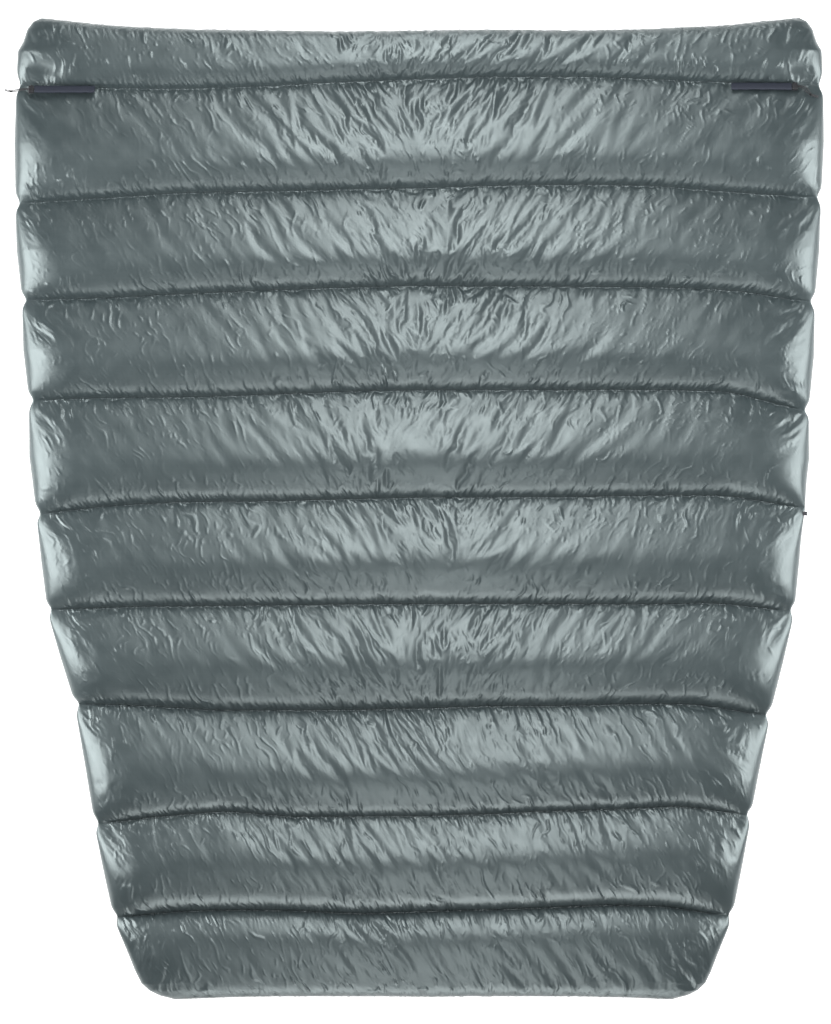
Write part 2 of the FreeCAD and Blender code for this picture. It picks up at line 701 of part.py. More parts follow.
KNOT_RADII = (3.4, 3.0, 2.6)

for side_name, direction, _, _ in LOCKS:
    knot_middle = vector()
    for strand, side in (("upper", 1), ("lower", -1)):
        exit_point = lock_frames[side_name].multVec(
            vector(direction * (dims["lock_x"] / 2 + 0.5), side * dims["cord_offset"], 0)
        )
        route = [exit_point, exit_point + vector(direction * STRAIGHT_OUT, 0, 0)]
        route += [vector(*point) for point in STRANDS[side_name][strand]]
        path, radii = rounded_route(route)
        circle = Part.makeCircle(dims["cord_radius"], exit_point, route[1] - exit_point)
        tube = path.makePipeShell([Part.Wire(circle)], True, False)
        name = f"drawcord_{strand}_strand_{side_name}"
        feature = doc.addObject("Part::Feature", name)
        feature.Shape = tube
        keep(feature, name)
        section = math.pi * dims["cord_radius"] ** 2
        print(
            f"{name}: length {path.Length:.1f}, radii", [round(radius, 1) for radius in radii],
            f"volume {tube.Volume:.1f} against {section * path.Length:.1f}",
        )
        knot_middle += vector(*STRANDS[side_name][strand][KNOT_POINT]) * 0.5
    knot = doc.addObject("Part::Ellipsoid", f"ellipsoid_{side_name}")
    knot.Radius1, knot.Radius2, knot.Radius3 = KNOT_RADII[2], KNOT_RADII[0], KNOT_RADII[1]
    keep(knot, f"drawcord_knot_{side_name}", FreeCAD.Placement(knot_middle, FreeCAD.Rotation()))

# ---------------------------------------------------------------- webbing loop on the right edge

loop_size_x, loop_size_z = "Dimensions.loop_depth", "Dimensions.loop_height"
loop_block = box("loop_block", loop_size_x, "Dimensions.loop_width", loop_size_z, -dims["loop_width"] / 2)
loop_round = doc.addObject("Part::Fillet", "loop_round")
loop_round.Base = loop_block
doc.recompute()
outer_edges = [
    number + 1 for number, edge in enumerate(loop_block.Shape.Edges)
    if edge.BoundBox.YLength > dims["loop_width"] / 2 and edge.BoundBox.XMin > 0
]
loop_round.Edges = [(number, 2.5, 2.5) for number in outer_edges]
loop_eye = box(
    "loop_eye", loop_size_x + " - 2 * Dimensions.loop_wall", "Dimensions.loop_width + 2",
    loop_size_z + " - 2 * Dimensions.loop_wall", -dims["loop_width"] / 2 - 1
)
loop_cut = cut("loop_cut", loop_round, loop_eye)
loop_middle = vector(dims["loop_x"] + dims["loop_depth"] / 2, dims["loop_y"], dims["seam_5_z"])
keep(loop_cut, "edge_loop_right", FreeCAD.Placement(loop_middle, FreeCAD.Rotation()))

# ---------------------------------------------------------------- checks and STEP files

doc.recompute()
for item in doc.Objects:
    if "Invalid" in item.State or "Error" in item.State:
        raise SystemExit(f"{item.Label} failed: {item.State}")
volume = 0
for piece in pieces:
    shape = piece.Shape
    if shape.isNull() or not shape.isValid() or not shape.Solids:
        raise SystemExit(f"{piece.Label} has no valid solid")
    volume += shape.Volume
    shape.exportStep(f"parts/{piece.Label}.step")
print(f"{len(pieces)} sub-parts, {volume / 1e9:.4f} cubic metres of solid")
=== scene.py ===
import json
import math

import bpy
import numpy as np
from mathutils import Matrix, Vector


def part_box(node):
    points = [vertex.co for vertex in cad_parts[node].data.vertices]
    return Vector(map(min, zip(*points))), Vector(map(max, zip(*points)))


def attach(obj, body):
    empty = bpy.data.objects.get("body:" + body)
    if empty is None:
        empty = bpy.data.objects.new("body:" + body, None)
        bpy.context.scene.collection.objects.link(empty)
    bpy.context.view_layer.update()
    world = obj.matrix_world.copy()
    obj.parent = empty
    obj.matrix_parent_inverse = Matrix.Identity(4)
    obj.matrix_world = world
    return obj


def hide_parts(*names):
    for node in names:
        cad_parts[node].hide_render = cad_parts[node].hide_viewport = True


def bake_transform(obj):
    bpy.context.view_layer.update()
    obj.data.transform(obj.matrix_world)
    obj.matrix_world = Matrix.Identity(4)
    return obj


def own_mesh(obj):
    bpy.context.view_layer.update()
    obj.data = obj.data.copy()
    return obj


# A two-person down camp quilt lying flat, shell up. Metres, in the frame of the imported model.
# +Y is the head end, +X is to the right seen from above, and the underside is on Z = 0.

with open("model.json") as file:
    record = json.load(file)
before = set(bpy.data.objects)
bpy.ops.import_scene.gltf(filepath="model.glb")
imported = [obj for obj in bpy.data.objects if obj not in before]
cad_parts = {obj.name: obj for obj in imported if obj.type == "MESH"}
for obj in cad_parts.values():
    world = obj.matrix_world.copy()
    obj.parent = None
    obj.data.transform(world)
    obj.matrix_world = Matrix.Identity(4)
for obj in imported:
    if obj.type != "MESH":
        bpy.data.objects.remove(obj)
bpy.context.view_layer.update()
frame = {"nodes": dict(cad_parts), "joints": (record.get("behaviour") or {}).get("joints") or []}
scene = bpy.context.scene
F = np.float32

# ---------------------------------------------------------------- camera

PICTURE_HEIGHT = 2.0746  # what the picture's long side covers at the height of the quilt's edge
CAMERA_HEIGHT = 9.0
camera_data = bpy.data.cameras.new("camera")
camera_data.lens = camera_data.sensor_width * CAMERA_HEIGHT / PICTURE_HEIGHT
camera_data.clip_end = 100
camera = bpy.data.objects.new("camera", camera_data)
camera.location = (-0.0111, 0.0061, CAMERA_HEIGHT + 0.03)
scene.collection.objects.link(camera)
scene.camera = camera

# ---------------------------------------------------------------- materials


def shader(name, colour, roughness, **inputs):
    """A material and its Principled shader, with sockets set by name."""
    material = bpy.data.materials.new(name)
    material.use_nodes = True
    principled = material.node_tree.nodes["Principled BSDF"]
    principled.inputs["Base Color"].default_value = (*colour, 1)
    principled.inputs["Roughness"].default_value = roughness
    for socket, value in inputs.items():
        principled.inputs[socket.replace("_", " ")].default_value = value
    return material, material.node_tree, principled


def node(tree, kind, links=(), **values):
    """A node with its properties set, and its inputs set or linked by name."""
    made = tree.nodes.new(kind)
    for key, value in values.items():
        setattr(made, key, value)
    for socket, value in dict(links).items():
        if isinstance(value, bpy.types.NodeSocket):
            tree.links.new(value, made.inputs[socket])
        else:
            made.inputs[socket].default_value = value
    return made


def mix_colour(tree, share, first, second):
    mix = node(tree, "ShaderNodeMix", data_type="RGBA")
    tree.links.new(share, mix.inputs[0])
    for socket, colour in ((mix.inputs[6], first), (mix.inputs[7], second)):
        if isinstance(colour, bpy.types.NodeSocket):
            tree.links.new(colour, socket)
        else:
            socket.default_value = (*colour, 1)
    return mix.outputs[2]


def math_node(tree, operation, *values):
    made = node(tree, "ShaderNodeMath", operation=operation)
    for socket, value in zip(made.inputs, values):
        if isinstance(value, bpy.types.NodeSocket):
            tree.links.new(value, socket)
        else:
            socket.default_value = value
    return made.outputs[0]


def place_on_piece(tree):
    return node(tree, "ShaderNodeTexCoord").outputs["Object"]


YARN_GRID_SCALE = 100 / math.pi  # a thicker yarn about every 10 mm
YARN_SHARPNESS = 14.0


def ripstop(name, colour, light, roughness, seed):
    """Calendered ripstop nylon: a faint grid of thicker yarns, fine weave, shine that comes and goes."""
    material, tree, principled = shader(name, colour, roughness, Specular_IOR_Level=1.0)
    principled.inputs["Specular Tint"].default_value = (0.86, 0.98, 0.98, 1)
    principled.inputs["Sheen Weight"].default_value = 0.04
    principled.inputs["Sheen Roughness"].default_value = 0.4
    place = place_on_piece(tree)
    lines = []
    for axis in ("X", "Y"):
        wave = node(tree, "ShaderNodeTexWave", {"Vector": place, "Scale": YARN_GRID_SCALE, "Distortion": 0.0},
                    wave_type="BANDS", bands_direction=axis)
        lines.append(math_node(tree, "POWER", wave.outputs["Fac"], YARN_SHARPNESS))
    grid = math_node(tree, "MAXIMUM", *lines)
    weave = node(tree, "ShaderNodeTexNoise", {"Vector": place, "Scale": 1500.0, "Detail": 1.0})
    cloud = node(tree, "ShaderNodeTexNoise", {"Vector": place, "Scale": 3.1, "Detail": 3.0})
    mottle = node(tree, "ShaderNodeTexNoise", {"Vector": place, "Scale": 26.0 + seed, "Detail": 5.0})
    total = math_node(tree, "ADD", cloud.outputs["Fac"], mottle.outputs["Fac"])
    share = math_node(tree, "MULTIPLY", total, 0.5)
    share = node(tree, "ShaderNodeMapRange", {"Value": share, "From Min": 0.2, "From Max": 0.8}).outputs[0]
    tone = mix_colour(tree, share, colour, light)
    yarn = math_node(tree, "MULTIPLY", grid, 0.05)
    yarn_colour = tuple(min(1, c * 1.9) for c in light)
    tree.links.new(mix_colour(tree, yarn, tone, yarn_colour), principled.inputs["Base Color"])
    rough = node(tree, "ShaderNodeMapRange", {
        "Value": mottle.outputs["Fac"], "From Min": 0.3, "From Max": 0.7,
        "To Min": roughness - 0.03, "To Max": roughness + 0.05})
    tree.links.new(rough.outputs[0], principled.inputs["Roughness"])
    height = math_node(tree, "ADD", math_node(tree, "MULTIPLY", grid, 0.6), weave.outputs["Fac"])
    bump = node(tree, "ShaderNodeBump", {"Height": height, "Strength": 0.10, "Distance": 0.00012})
    tree.links.new(bump.outputs[0], principled.inputs["Normal"])
    return material


shell_fabric = ripstop("shell_fabric", (0.026, 0.036, 0.039), (0.036, 0.048, 0.051), 0.33, 1)
liner_fabric = ripstop("liner_fabric", (0.060, 0.078, 0.084), (0.076, 0.096, 0.103), 0.42, 5)


def threads(name, colour, light, scale, roughness=0.7, bump_depth=0.0002):
    """Spun thread, tape or cord: diagonal yarns, with a painted highlight on their raised sides and painted
    shade on their low sides.
    """
    material, tree, principled = shader(name, colour, roughness)
    place = place_on_piece(tree)
    wave = node(tree, "ShaderNodeTexWave",
                {"Vector": place, "Scale": scale, "Distortion": 1.2, "Detail": 2.0},
                wave_type="BANDS", bands_direction="DIAGONAL")
    fuzz = node(tree, "ShaderNodeTexNoise", {"Vector": place, "Scale": scale * 2.4, "Detail": 3.0})
    share = math_node(tree, "MULTIPLY", wave.outputs["Fac"], fuzz.outputs["Fac"])
    # painted highlight and shade: where the yarn bump is high the colour is mixed towards the lighter one,
    # where it is low towards the darker
    tree.links.new(mix_colour(tree, share, colour, light), principled.inputs["Base Color"])
    bump = node(tree, "ShaderNodeBump", {"Height": share, "Strength": 0.6, "Distance": bump_depth})
    tree.links.new(bump.outputs[0], principled.inputs["Normal"])
    return material


# the second colour of each is the painted highlight on the raised yarns
thread = threads("seam_thread", (0.020, 0.027, 0.031), (0.045, 0.058, 0.064), 900, 0.8, 0.0001)
navy_tape = threads("channel_tape", (0.007, 0.010, 0.020), (0.018, 0.025, 0.044), 420)
webbing = threads("webbing", (0.012, 0.013, 0.016), (0.05, 0.053, 0.06), 380)
cord_sheath = threads("drawcord", (0.010, 0.010, 0.012), (0.060, 0.062, 0.066), 520, 0.65)


def plastic():
    """Moulded black acetal, faintly textured."""
    material, tree, principled = shader("lock_plastic", (0.014, 0.014, 0.016), 0.38)
    place = place_on_piece(tree)
    grain = node(tree, "ShaderNodeTexNoise", {"Vector": place, "Scale": 2200.0, "Detail": 2.0})
    wear = node(tree, "ShaderNodeTexNoise", {"Vector": place, "Scale": 160.0, "Detail": 4.0})
    rough = node(tree, "ShaderNodeMapRange", {"Value": wear.outputs["Fac"], "To Min": 0.30, "To Max": 0.48})
    tree.links.new(rough.outputs[0], principled.inputs["Roughness"])
    tree.links.new(mix_colour(tree, wear.outputs["Fac"], (0.010, 0.010, 0.012), (0.022, 0.022, 0.025)),
                   principled.inputs["Base Color"])
    bump = node(tree, "ShaderNodeBump",
                {"Height": grain.outputs["Fac"], "Strength": 0.2, "Distance": 0.00005})
    tree.links.new(bump.outputs[0], principled.inputs["Normal"])
    return material


lock_plastic = plastic()


def steel():
    """Bright spring wire, lightly scratched."""
    material, tree, principled = shader("spring_steel", (0.55, 0.55, 0.56), 0.3, Metallic=1.0)
    scratch = node(tree, "ShaderNodeTexNoise", {"Vector": place_on_piece(tree), "Scale": 900.0})
    rough = node(tree, "ShaderNodeMapRange", {"Value": scratch.outputs["Fac"], "To Min": 0.22, "To Max": 0.4})
    tree.links.new(rough.outputs[0], principled.inputs["Roughness"])
    return material


spring_steel = steel()


def give(piece, material):
    """One material over the whole piece."""
    piece.data.materials.clear()
    piece.data.materials.append(material)


def mesh_piece(name, points, faces, material, smooth=True):
    mesh = bpy.data.meshes.new(name)
    mesh.from_pydata([tuple(p) for p in points], [], [tuple(f) for f in faces])
    piece = bpy.data.objects.new(name, mesh)
    scene.collection.objects.link(piece)
    mesh.polygons.foreach_set("use_smooth", [smooth] * len(mesh.polygons))
    mesh.materials.append(material)
    return piece


# ---------------------------------------------------------------- drawcords

MM = 0.001
CORD_DIAMETER = 2 * MM
# the route of each free strand, in millimetres, from the lock's outer face to its loose end
STRANDS = {
    "upper_strand_right": ((777.5, 867.4, 36.8), (784.4, 860.0, 38.8), (788.8, 852.4, 39.2),
                           (796.5, 849.7, 36.4), (805.0, 848.5, 32.2)),
    "lower_strand_right": ((775.6, 862.0, 39.2), (781.2, 855.4, 40.0), (788.0, 850.0, 39.6),
                           (796.2, 847.3, 36.6), (804.6, 846.1, 32.4)),
    "upper_strand_left": ((-811.0, 862.8, 37.2), (-821.0, 860.9, 33.8), (-830.6, 859.6, 29.2),
                          (-837.6, 861.0, 26.0), (-844.0, 863.1, 23.6)),
    "lower_strand_left": ((-811.0, 859.8, 38.6), (-821.0, 857.8, 34.8), (-830.6, 857.0, 29.8),
                          (-837.6, 858.5, 26.6), (-843.6, 860.6, 24.2)),
}
LOCKS = {"right": (1, 757, 868.15, 34.9), "left": (-1, -789, 862.0, 39.3)}
SLOPE = math.atan(0.36 * 42 / 21.2)  # of chamber 1 beside the collar seam, where the locks lie
CORD_OFFSET = 1.2
LOCK_END = 6.0
STRAIGHT_OUT = 6.0


def lock_frame(side):
    """The lock's middle and its own Y, down the slope to the seam, and Z, away from the slope."""
    _, x, y, z = LOCKS[side]
    along = np.array((0, math.cos(SLOPE), -math.sin(SLOPE)))
    out = np.array((0, math.sin(SLOPE), math.cos(SLOPE)))
    return np.array((x, y, z), float), along, out


def strand(name, side, which):
    direction = LOCKS[side][0]
    middle, along, _ = lock_frame(side)
    way_out = np.array((direction, 0, 0))
    start = middle + way_out * LOCK_END + along * (which * CORD_OFFSET)
    route = [start, start + way_out * STRAIGHT_OUT, *map(np.array, STRANDS[name])]
    curve = bpy.data.curves.new(f"drawcord_{name}_sheath", "CURVE")
    curve.dimensions = "3D"
    spline = curve.splines.new("NURBS")
    spline.points.add(len(route) - 1)
    for point, place in zip(spline.points, route):
        point.co = (*(place * MM), 1)
    spline.order_u = 3
    spline.use_endpoint_u = True
    spline.resolution_u = 16
    curve.bevel_depth = CORD_DIAMETER / 2
    curve.bevel_resolution = 5
    curve.use_fill_caps = True
    piece = bpy.data.objects.new(f"drawcord_{name}_sheath", curve)
    scene.collection.objects.link(piece)
    give(piece, cord_sheath)
    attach(piece, f"drawcord_{side}")
    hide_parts(f"drawcord_{name}")
    return piece, start * MM


def knot(side):
    """An overhand knot in the doubled cord: two strands wound once round each other."""
    low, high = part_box(f"drawcord_knot_{side}")
    middle, half = (low + high) / 2, (high - low) / 2
    points, faces = [], []
    ring, steps = 8, 72
    for offset in (0.0, math.pi / 2.4):
        path = []
        for step in range(steps + 1):
            a = offset + step / steps * 2 * math.pi
            path.append(Vector((
                half.x * 0.66 * (math.sin(a) + 0.42 * math.sin(2 * a)) / 1.25,
                half.y * 0.64 * (math.cos(a) - 0.52 * math.cos(2 * a)) / 1.35,
                half.z * 0.62 * math.sin(3 * a),
            )))
        first = len(points)
        for step, place in enumerate(path):
            ahead = (path[(step + 1) % steps] - path[(step - 1) % steps]).normalized()
            across = ahead.cross(Vector((0, 0, 1))).normalized()
            up = across.cross(ahead)
            for k in range(ring):
                b = 2 * math.pi * k / ring
                points.append(middle + place + (across * math.cos(b) + up * math.sin(b)) * 0.92 * MM)
        for step in range(steps):
            for k in range(ring):
                a, b = first + step * ring + k, first + step * ring + (k + 1) % ring
                faces.append((a, b, b + ring, a + ring))
    piece = mesh_piece(f"drawcord_overhand_knot_{side}", points, faces, cord_sheath)
    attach(piece, f"drawcord_{side}")
    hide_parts(f"drawcord_knot_{side}")
    return piece


for side in LOCKS:
    tie = knot(side)
    for part, which in (("upper", 1), ("lower", -1)):
        name = f"{part}_strand_{side}"
        piece, start = strand(name, side, which)

# ---------------------------------------------------------------- the shape of the filled quilt

CHAMBERS = ["collar"] + [f"chamber_{n}" for n in range(1, 10)]
SEAMS = ["collar_seam"] + [f"seam_{n}" for n in range(2, 8)] + ["mouth_seam", "seam_9"]
SEAM_GAP = 3.0


def corners(name):
    low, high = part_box(name)
    return np.array(low) / MM, np.array(high) / MM


def outline():
    """Half width of the quilt along Y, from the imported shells' ends and middles."""
    ys, half_widths = [], []
    for chamber in reversed(CHAMBERS):
        vertices = frame["nodes"][f"{chamber}_shell"].data.vertices
        co = np.zeros(len(vertices) * 3, F)
        vertices.foreach_get("co", co)
        co = co.reshape(-1, 3) / MM
        foot, head = co[:, 1].min(), co[:, 1].max()
        for y, reach in ((foot, 2), ((foot + head) / 2, 15), (head, 2)):
            ys.append(float(y))
            half_widths.append(float(np.abs(co[np.abs(co[:, 1] - y) < reach, 0]).max()))
    # the four corners are rounder than straight lines between those
    kept = [(y, half) for y, half in zip(ys, half_widths) if -870 < y < 940]
    kept += [(983, 766), (978, 781), (966, 793), (945, 802)]
    kept += [(-881, 594), (-922, 579), (-948, 567), (-964, 551), (-975, 530), (-983, 500)]
    kept.sort()
    return np.array([y for y, _ in kept]), np.array([half for _, half in kept])


OUTLINE_Y, OUTLINE_X = outline()
LINE_Y = [corners("collar_shell")[1][1]]
LINE_Y += [corners(f"{seam}_stitching")[1][1] - SEAM_GAP for seam in SEAMS]
LINE_Y += [corners("chamber_9_shell")[0][1]]
LINE_Z = [22.0] + [float(np.mean([c[2] for c in corners(f"{seam}_stitching")])) for seam in SEAMS]
LINE_Z += [LINE_Z[-1]]
CROWN = [corners(f"{chamber}_shell")[1][2] for chamber in CHAMBERS]

# How far each line lies from straight, in millimetres towards the head, at even steps from the
# left edge to the right: the seams bow up in the middle and drop where the side edges fold in.
BOW = (
    (25, 9, 2, 0, -2, 0, 2, 0, 3, 10, 26),
    (-8, -14, -16, -11, -2, 4, 9, 9, 3, -3, -9),
    (-30, -20, -9, -6, -2, 1, 6, 8, 5, -8, -18),
    (-22, -18, -10, -3, 3, 7, 6, 5, 4, -2, -26),
    (-14, -9, -8, -3, 3, 6, 7, 7, 7, 4, -36),
    (-30, -12, -5, -4, 0, 4, 4, 5, 8, 8, -18),
    (-8, -2, 0, 1, 3, 4, 4, 4, 3, 6, -10),
    (12, 8, -1, -1, 0, 3, 8, 8, 12, 12, -12),
    (-16, 0, 10, -2, -1, 0, 4, 10, 14, 20, 2),
    (-10, 2, 5, 3, -3, 2, 5, 9, 15, 12, -8),
    (4, 8, 10, 10, 10, 9, 10, 10, 10, 8, 4),
)
SIDE_SHIFT_Y = (1010, 820, 600, 200, -200, -400, -800, -1000)
SIDE_SHIFT = (-2, -3, -6, -4, 0, 3, 4, 5)  # the whole outline leans a little to one side
ROUNDING = 115.0  # how far in from a side edge the chambers are still rounding off
EDGE_EXTRA = 3.0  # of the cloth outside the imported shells
SEAM_NOTCH, NOTCH_REACH = 8.0, 13.0  # how far the side edge pulls in at a seam, and over what length
LOOP_FILL, LOOP_REACH = 3.0, 40.0  # the edge loop fills its seam's notch out by this much instead
SKEW = 1.38  # moves the crown of each inner chamber towards the foot
LOCK_X, LOCK_ROOM = 768, 0.55  # the collar is lower beside the locks, to clear them when it is turned up
BASE_STEP = 10.0
ROWS = [max(6, round((a - b) / BASE_STEP)) for a, b in zip(LINE_Y, LINE_Y[1:])]
COLUMNS = 164


def ease(start, end, value):
    share = np.clip((value - start) / (end - start), 0, 1)
    return share * share * (3 - 2 * share)


def rows_at(level):
    """For each row of the grid: its chamber and its share of it. Also the row of each line."""
    chamber, share, lines = [], [], [0]
    for number, count in enumerate(ROWS):
        count *= 2 ** level
        chamber += [number] * count
        share += [step / count for step in range(count)]
        lines.append(lines[-1] + count)
    return np.array(chamber + [len(ROWS) - 1]), np.array(share + [1.0]), lines


def bow(line, across):
    """A line's distance from straight at a share across the quilt, smooth between the steps."""
    steps = np.linspace(0, 1, len(BOW[line]))
    fine = np.interp(np.linspace(0, 1, 201), steps, BOW[line])
    kernel = np.hanning(15)
    padded = np.pad(fine, 7, mode="edge")
    return np.interp(across, np.linspace(0, 1, 201), np.convolve(padded, kernel / kernel.sum(), "valid"))


def filled(level, side):
    """The smooth filled shape at one resolution. side is +1 for the shell and -1 for the liner."""
    chamber, share, lines = rows_at(level)
    across = np.linspace(0, 1, COLUMNS * 2 ** level + 1)
    lines_y = np.stack([LINE_Y[k] + bow(k, across) for k in range(len(LINE_Y))])
    t = share[:, None]
    y = lines_y[chamber] * (1 - t) + lines_y[chamber + 1] * t
    straight = np.array(LINE_Y)[chamber] * (1 - share) + np.array(LINE_Y)[chamber + 1] * share
    half = np.interp(straight, OUTLINE_Y, OUTLINE_X)
    length = -np.diff(LINE_Y)[chamber]
    to_seam = np.minimum(share, 1 - share) * length
    inner = (chamber > 0) | (share > 0.5)
    inner &= (chamber < len(ROWS) - 1) | (share < 0.5)
    place = 2 * across - 1
    notch = np.where(inner, SEAM_NOTCH * np.exp(-(to_seam / NOTCH_REACH) ** 2), 0)[:, None]
    looped = np.exp(-((straight - LINE_Y[5]) / LOOP_REACH) ** 2)[:, None] * (place > 0)
    half = half[:, None] + EDGE_EXTRA - notch * (1 - looped) + LOOP_FILL * looped
    x = place * half + np.interp(straight, SIDE_SHIFT_Y[::-1], SIDE_SHIFT[::-1])[:, None]
    from_edge = (1 - np.abs(place)) * half
    cap = np.sqrt(1 - np.clip(1 - from_edge / ROUNDING, 0, 1) ** 2)
    base = np.array(LINE_Z)[chamber] * (1 - share) + np.array(LINE_Z)[chamber + 1] * share
    skewed = t ** np.where((chamber > 0) & (chamber < len(ROWS) - 1), SKEW, 1.0)[:, None]
    arch = np.clip(4 * skewed * (1 - skewed), 0, 1)
    # the lower the power, the steeper the chamber rises from its seam
    head_power = np.where(chamber == 0, 0.52, 0.74)[:, None]
    foot_power = np.where(chamber == len(ROWS) - 1, 0.50, 0.66)[:, None]
    if side > 0:
        loft = np.array(CROWN)[chamber] - (np.array(LINE_Z)[chamber] + np.array(LINE_Z)[chamber + 1]) / 2
        beside_lock = np.exp(-((np.abs(x) - LOCK_X) / 30) ** 2 - ((y - LINE_Y[1]) / 24) ** 2)
        room = 1 - LOCK_ROOM * beside_lock * (chamber == 0)[:, None]
        z = base[:, None] + loft[:, None] * arch ** (head_power * (1 - t) + foot_power * t) * cap * room
    else:
        drop = np.clip(1.12 * arch ** 0.42, 0, 1)
        floor = np.where(chamber <= 6, 0.0, np.where(chamber == 7, 30 * ease(0.35, 0.95, share), 43.5))
        z = base[:, None] + (floor - base)[:, None] * drop * cap
    shape = np.broadcast_shapes(x.shape, y.shape, z.shape)
    return [np.ascontiguousarray(np.broadcast_to(v, shape), F) for v in (x, y, z)], chamber, share, lines


# ---------------------------------------------------------------- cloth with more length than room


def cloud(x, y, size, seed, waves=26):
    """Soft noise from about -1 to 1."""
    draw = np.random.default_rng(seed)
    value = np.zeros_like(x)
    for _ in range(waves):
        kx, ky = draw.normal(size=2) * 2 / size
        value += np.cos(kx * x + ky * y + draw.uniform(0, 6.28))
    return np.clip(value / math.sqrt(waves) / 1.2, -1, 1)


def streaks(x, y, lean, width, seed, waves=24):
    """Ridges that run down the quilt and lean to the right by lean, about one width apart."""
    draw = np.random.default_rng(seed)
    value = np.zeros_like(x)
    wander = [0.9 * width * cloud(x, y, width * 3, seed + extra) for extra in (500, 600)]
    x, y = x + wander[0], y + wander[1]
    for _ in range(waves):
        turn = math.atan(lean) + draw.normal() * 0.25
        k = 2 * math.pi / (width * draw.uniform(0.6, 1.7))
        value += np.cos(k * (math.cos(turn) * x + math.sin(turn) * y) + draw.uniform(0, 6.28))
    return value / math.sqrt(waves)


LEAN = 0.45
DRAG = 0.004  # of the down on cloth that slides over it
LOOSE = (0.9, 1.1, 1.1, 0.9, 0.6, 0.5, 0.9, 0.7, 0.6, 0.6)  # how much cloth each chamber has to spare


def halves(x, y):
    """How much a point belongs to the right half, in patches about the middle, and to the foot end
    where all folds lean one way."""
    patches = 260 * cloud(x, y, 48, 91, 60) * np.exp(-(x / 300) ** 2)
    return ease(-50, 50, x + patches), ease(-330, -420, y)


def lean_streaks(x, y, width, seed):
    right, low = halves(x, y)
    one = streaks(x, y, LEAN, width, seed)
    other = streaks(x, y, -LEAN, width, seed + 1)
    return (1 - right) * one + right * ((1 - low) * other + low * one)


def from_sides(shape):
    """Distance from the nearer side edge."""
    return np.minimum(shape[0] - shape[0][:, :1], shape[0][:, -1:] - shape[0])


def spare(shape, chamber, share):
    """Spare cloth in each direction, as a share of its length: most in the middle and beside the seams."""
    x, y, _ = shape
    length = -np.diff(LINE_Y)[chamber]
    to_seam = (np.minimum(share, 1 - share) * length)[:, None]
    big, small = cloud(x, y, 150, 11) * 0.5 + 0.5, cloud(x, y, 70, 12) * 0.5 + 0.5
    near = np.exp(-to_seam / 14)
    middle = np.exp(-(np.abs(x - 30) / 345) ** 2.4)
    loose = np.array(LOOSE)[chamber][:, None]
    amount = 0.003 + (0.006 + 0.040 * big * small) * middle * loose
    amount = amount + 0.050 * near * (0.2 + 0.8 * small) * (0.4 + 0.6 * middle)
    right, low = halves(x, y)
    way = (1 - right) + right * (2 * low - 1)
    xx = amount * 0.80
    xy = amount * 0.40 * way
    yy = amount * 0.20
    # folds fan out from each seam's ends
    from_edge = from_sides(shape)
    xx = xx * ease(5, 70, from_edge)
    inward = -np.sign(x) * from_edge
    for away in (-share * length, (1 - share) * length):
        away = np.broadcast_to(away[:, None], x.shape)
        distance = np.hypot(inward, away) + 1
        fan = 0.075 * np.exp(-distance / 55) * ease(0, 30, distance) * (0.2 + small)
        xx = xx + fan * (away / distance) ** 2
        yy = yy + fan * (inward / distance) ** 2
        xy = xy - fan * away * inward / distance ** 2
    return [v.astype(F) for v in (xx, xy, yy)]


def creases(shape, chamber, share):
    """Fine sharp creases on top of the folds, and the short puckers that hug each row of stitches."""
    x, y, _ = shape
    to_seam = (np.minimum(share, 1 - share) * -np.diff(LINE_Y)[chamber])[:, None]
    hold = ease(3, 30, from_sides(shape))
    patches = 0.5 + 0.5 * cloud(x, y, 90, 15)
    pucker = 1.5 * (1 - np.exp(-to_seam / 2.5)) * np.exp(-to_seam / 8) * lean_streaks(x, y, 10, 81)
    reach = to_seam / 22
    short = 1.7 * reach * np.exp(1 - reach) * np.maximum(lean_streaks(x, y, 15, 83) - 0.7, 0)
    fine = 0.7 * patches * np.maximum(lean_streaks(x, y, 11, 85) - 0.7, 0)
    return (hold * (pucker + short + fine)).astype(F)


def neighbours(shape):
    """Pairs of slices that hold the two ends of every edge and diagonal, in sets that don't meet."""
    rows, columns = shape
    every = slice(None)
    pairs = []
    for p in (0, 1):
        pairs.append(((every, slice(p, columns - 1, 2)), (every, slice(p + 1, columns, 2))))
    for left, right in ((every, every), (slice(None, -1), slice(1, None)), (slice(1, None), slice(None, -1))):
        for p in (0, 1):
            pairs.append(((slice(p, rows - 1, 2), left), (slice(p + 1, rows, 2), right)))
    return pairs


def lengths(shape, extra, pairs):
    """The cloth's own length along each pair, with its spare length."""
    x, y, z = shape
    found = []
    for a, b in pairs:
        dx, dy, dz = x[b] - x[a], y[b] - y[a], z[b] - z[a]
        along = np.sqrt(dy * dy + dz * dz) * np.sign(dy)
        xx, xy, yy = [(v[a] + v[b]) / 2 for v in extra]
        square = dx * dx + dy * dy + dz * dz + 2 * (xx * dx * dx + 2 * xy * dx * along + yy * along * along)
        found.append(np.sqrt(square).astype(F))
    return found


def between(values):
    """Smooth values midway between neighbouring rows."""
    ends = np.concatenate([values[:1], values, values[-1:]])
    return (9 * (ends[1:-2] + ends[2:-1]) - ends[:-3] - ends[3:]) / 16


def finer(values):
    """A grid of values at twice the resolution."""
    rows, columns = values.shape
    made = np.empty((2 * rows - 1, 2 * columns - 1), F)
    made[::2, ::2] = values
    made[1::2, ::2] = between(values)
    made[:, 1::2] = between(made[:, ::2].T).T
    return made


def bending(values):
    """How far each value is below the mean of its eight neighbours."""
    found = np.zeros_like(values)
    rows = values[:-2] + values[2:]
    near = rows[:, 1:-1] + values[1:-1, :-2] + values[1:-1, 2:]
    corner = rows[:, :-2] + rows[:, 2:]
    found[1:-1, 1:-1] = near / 6 + corner / 12 - values[1:-1, 1:-1]
    return found


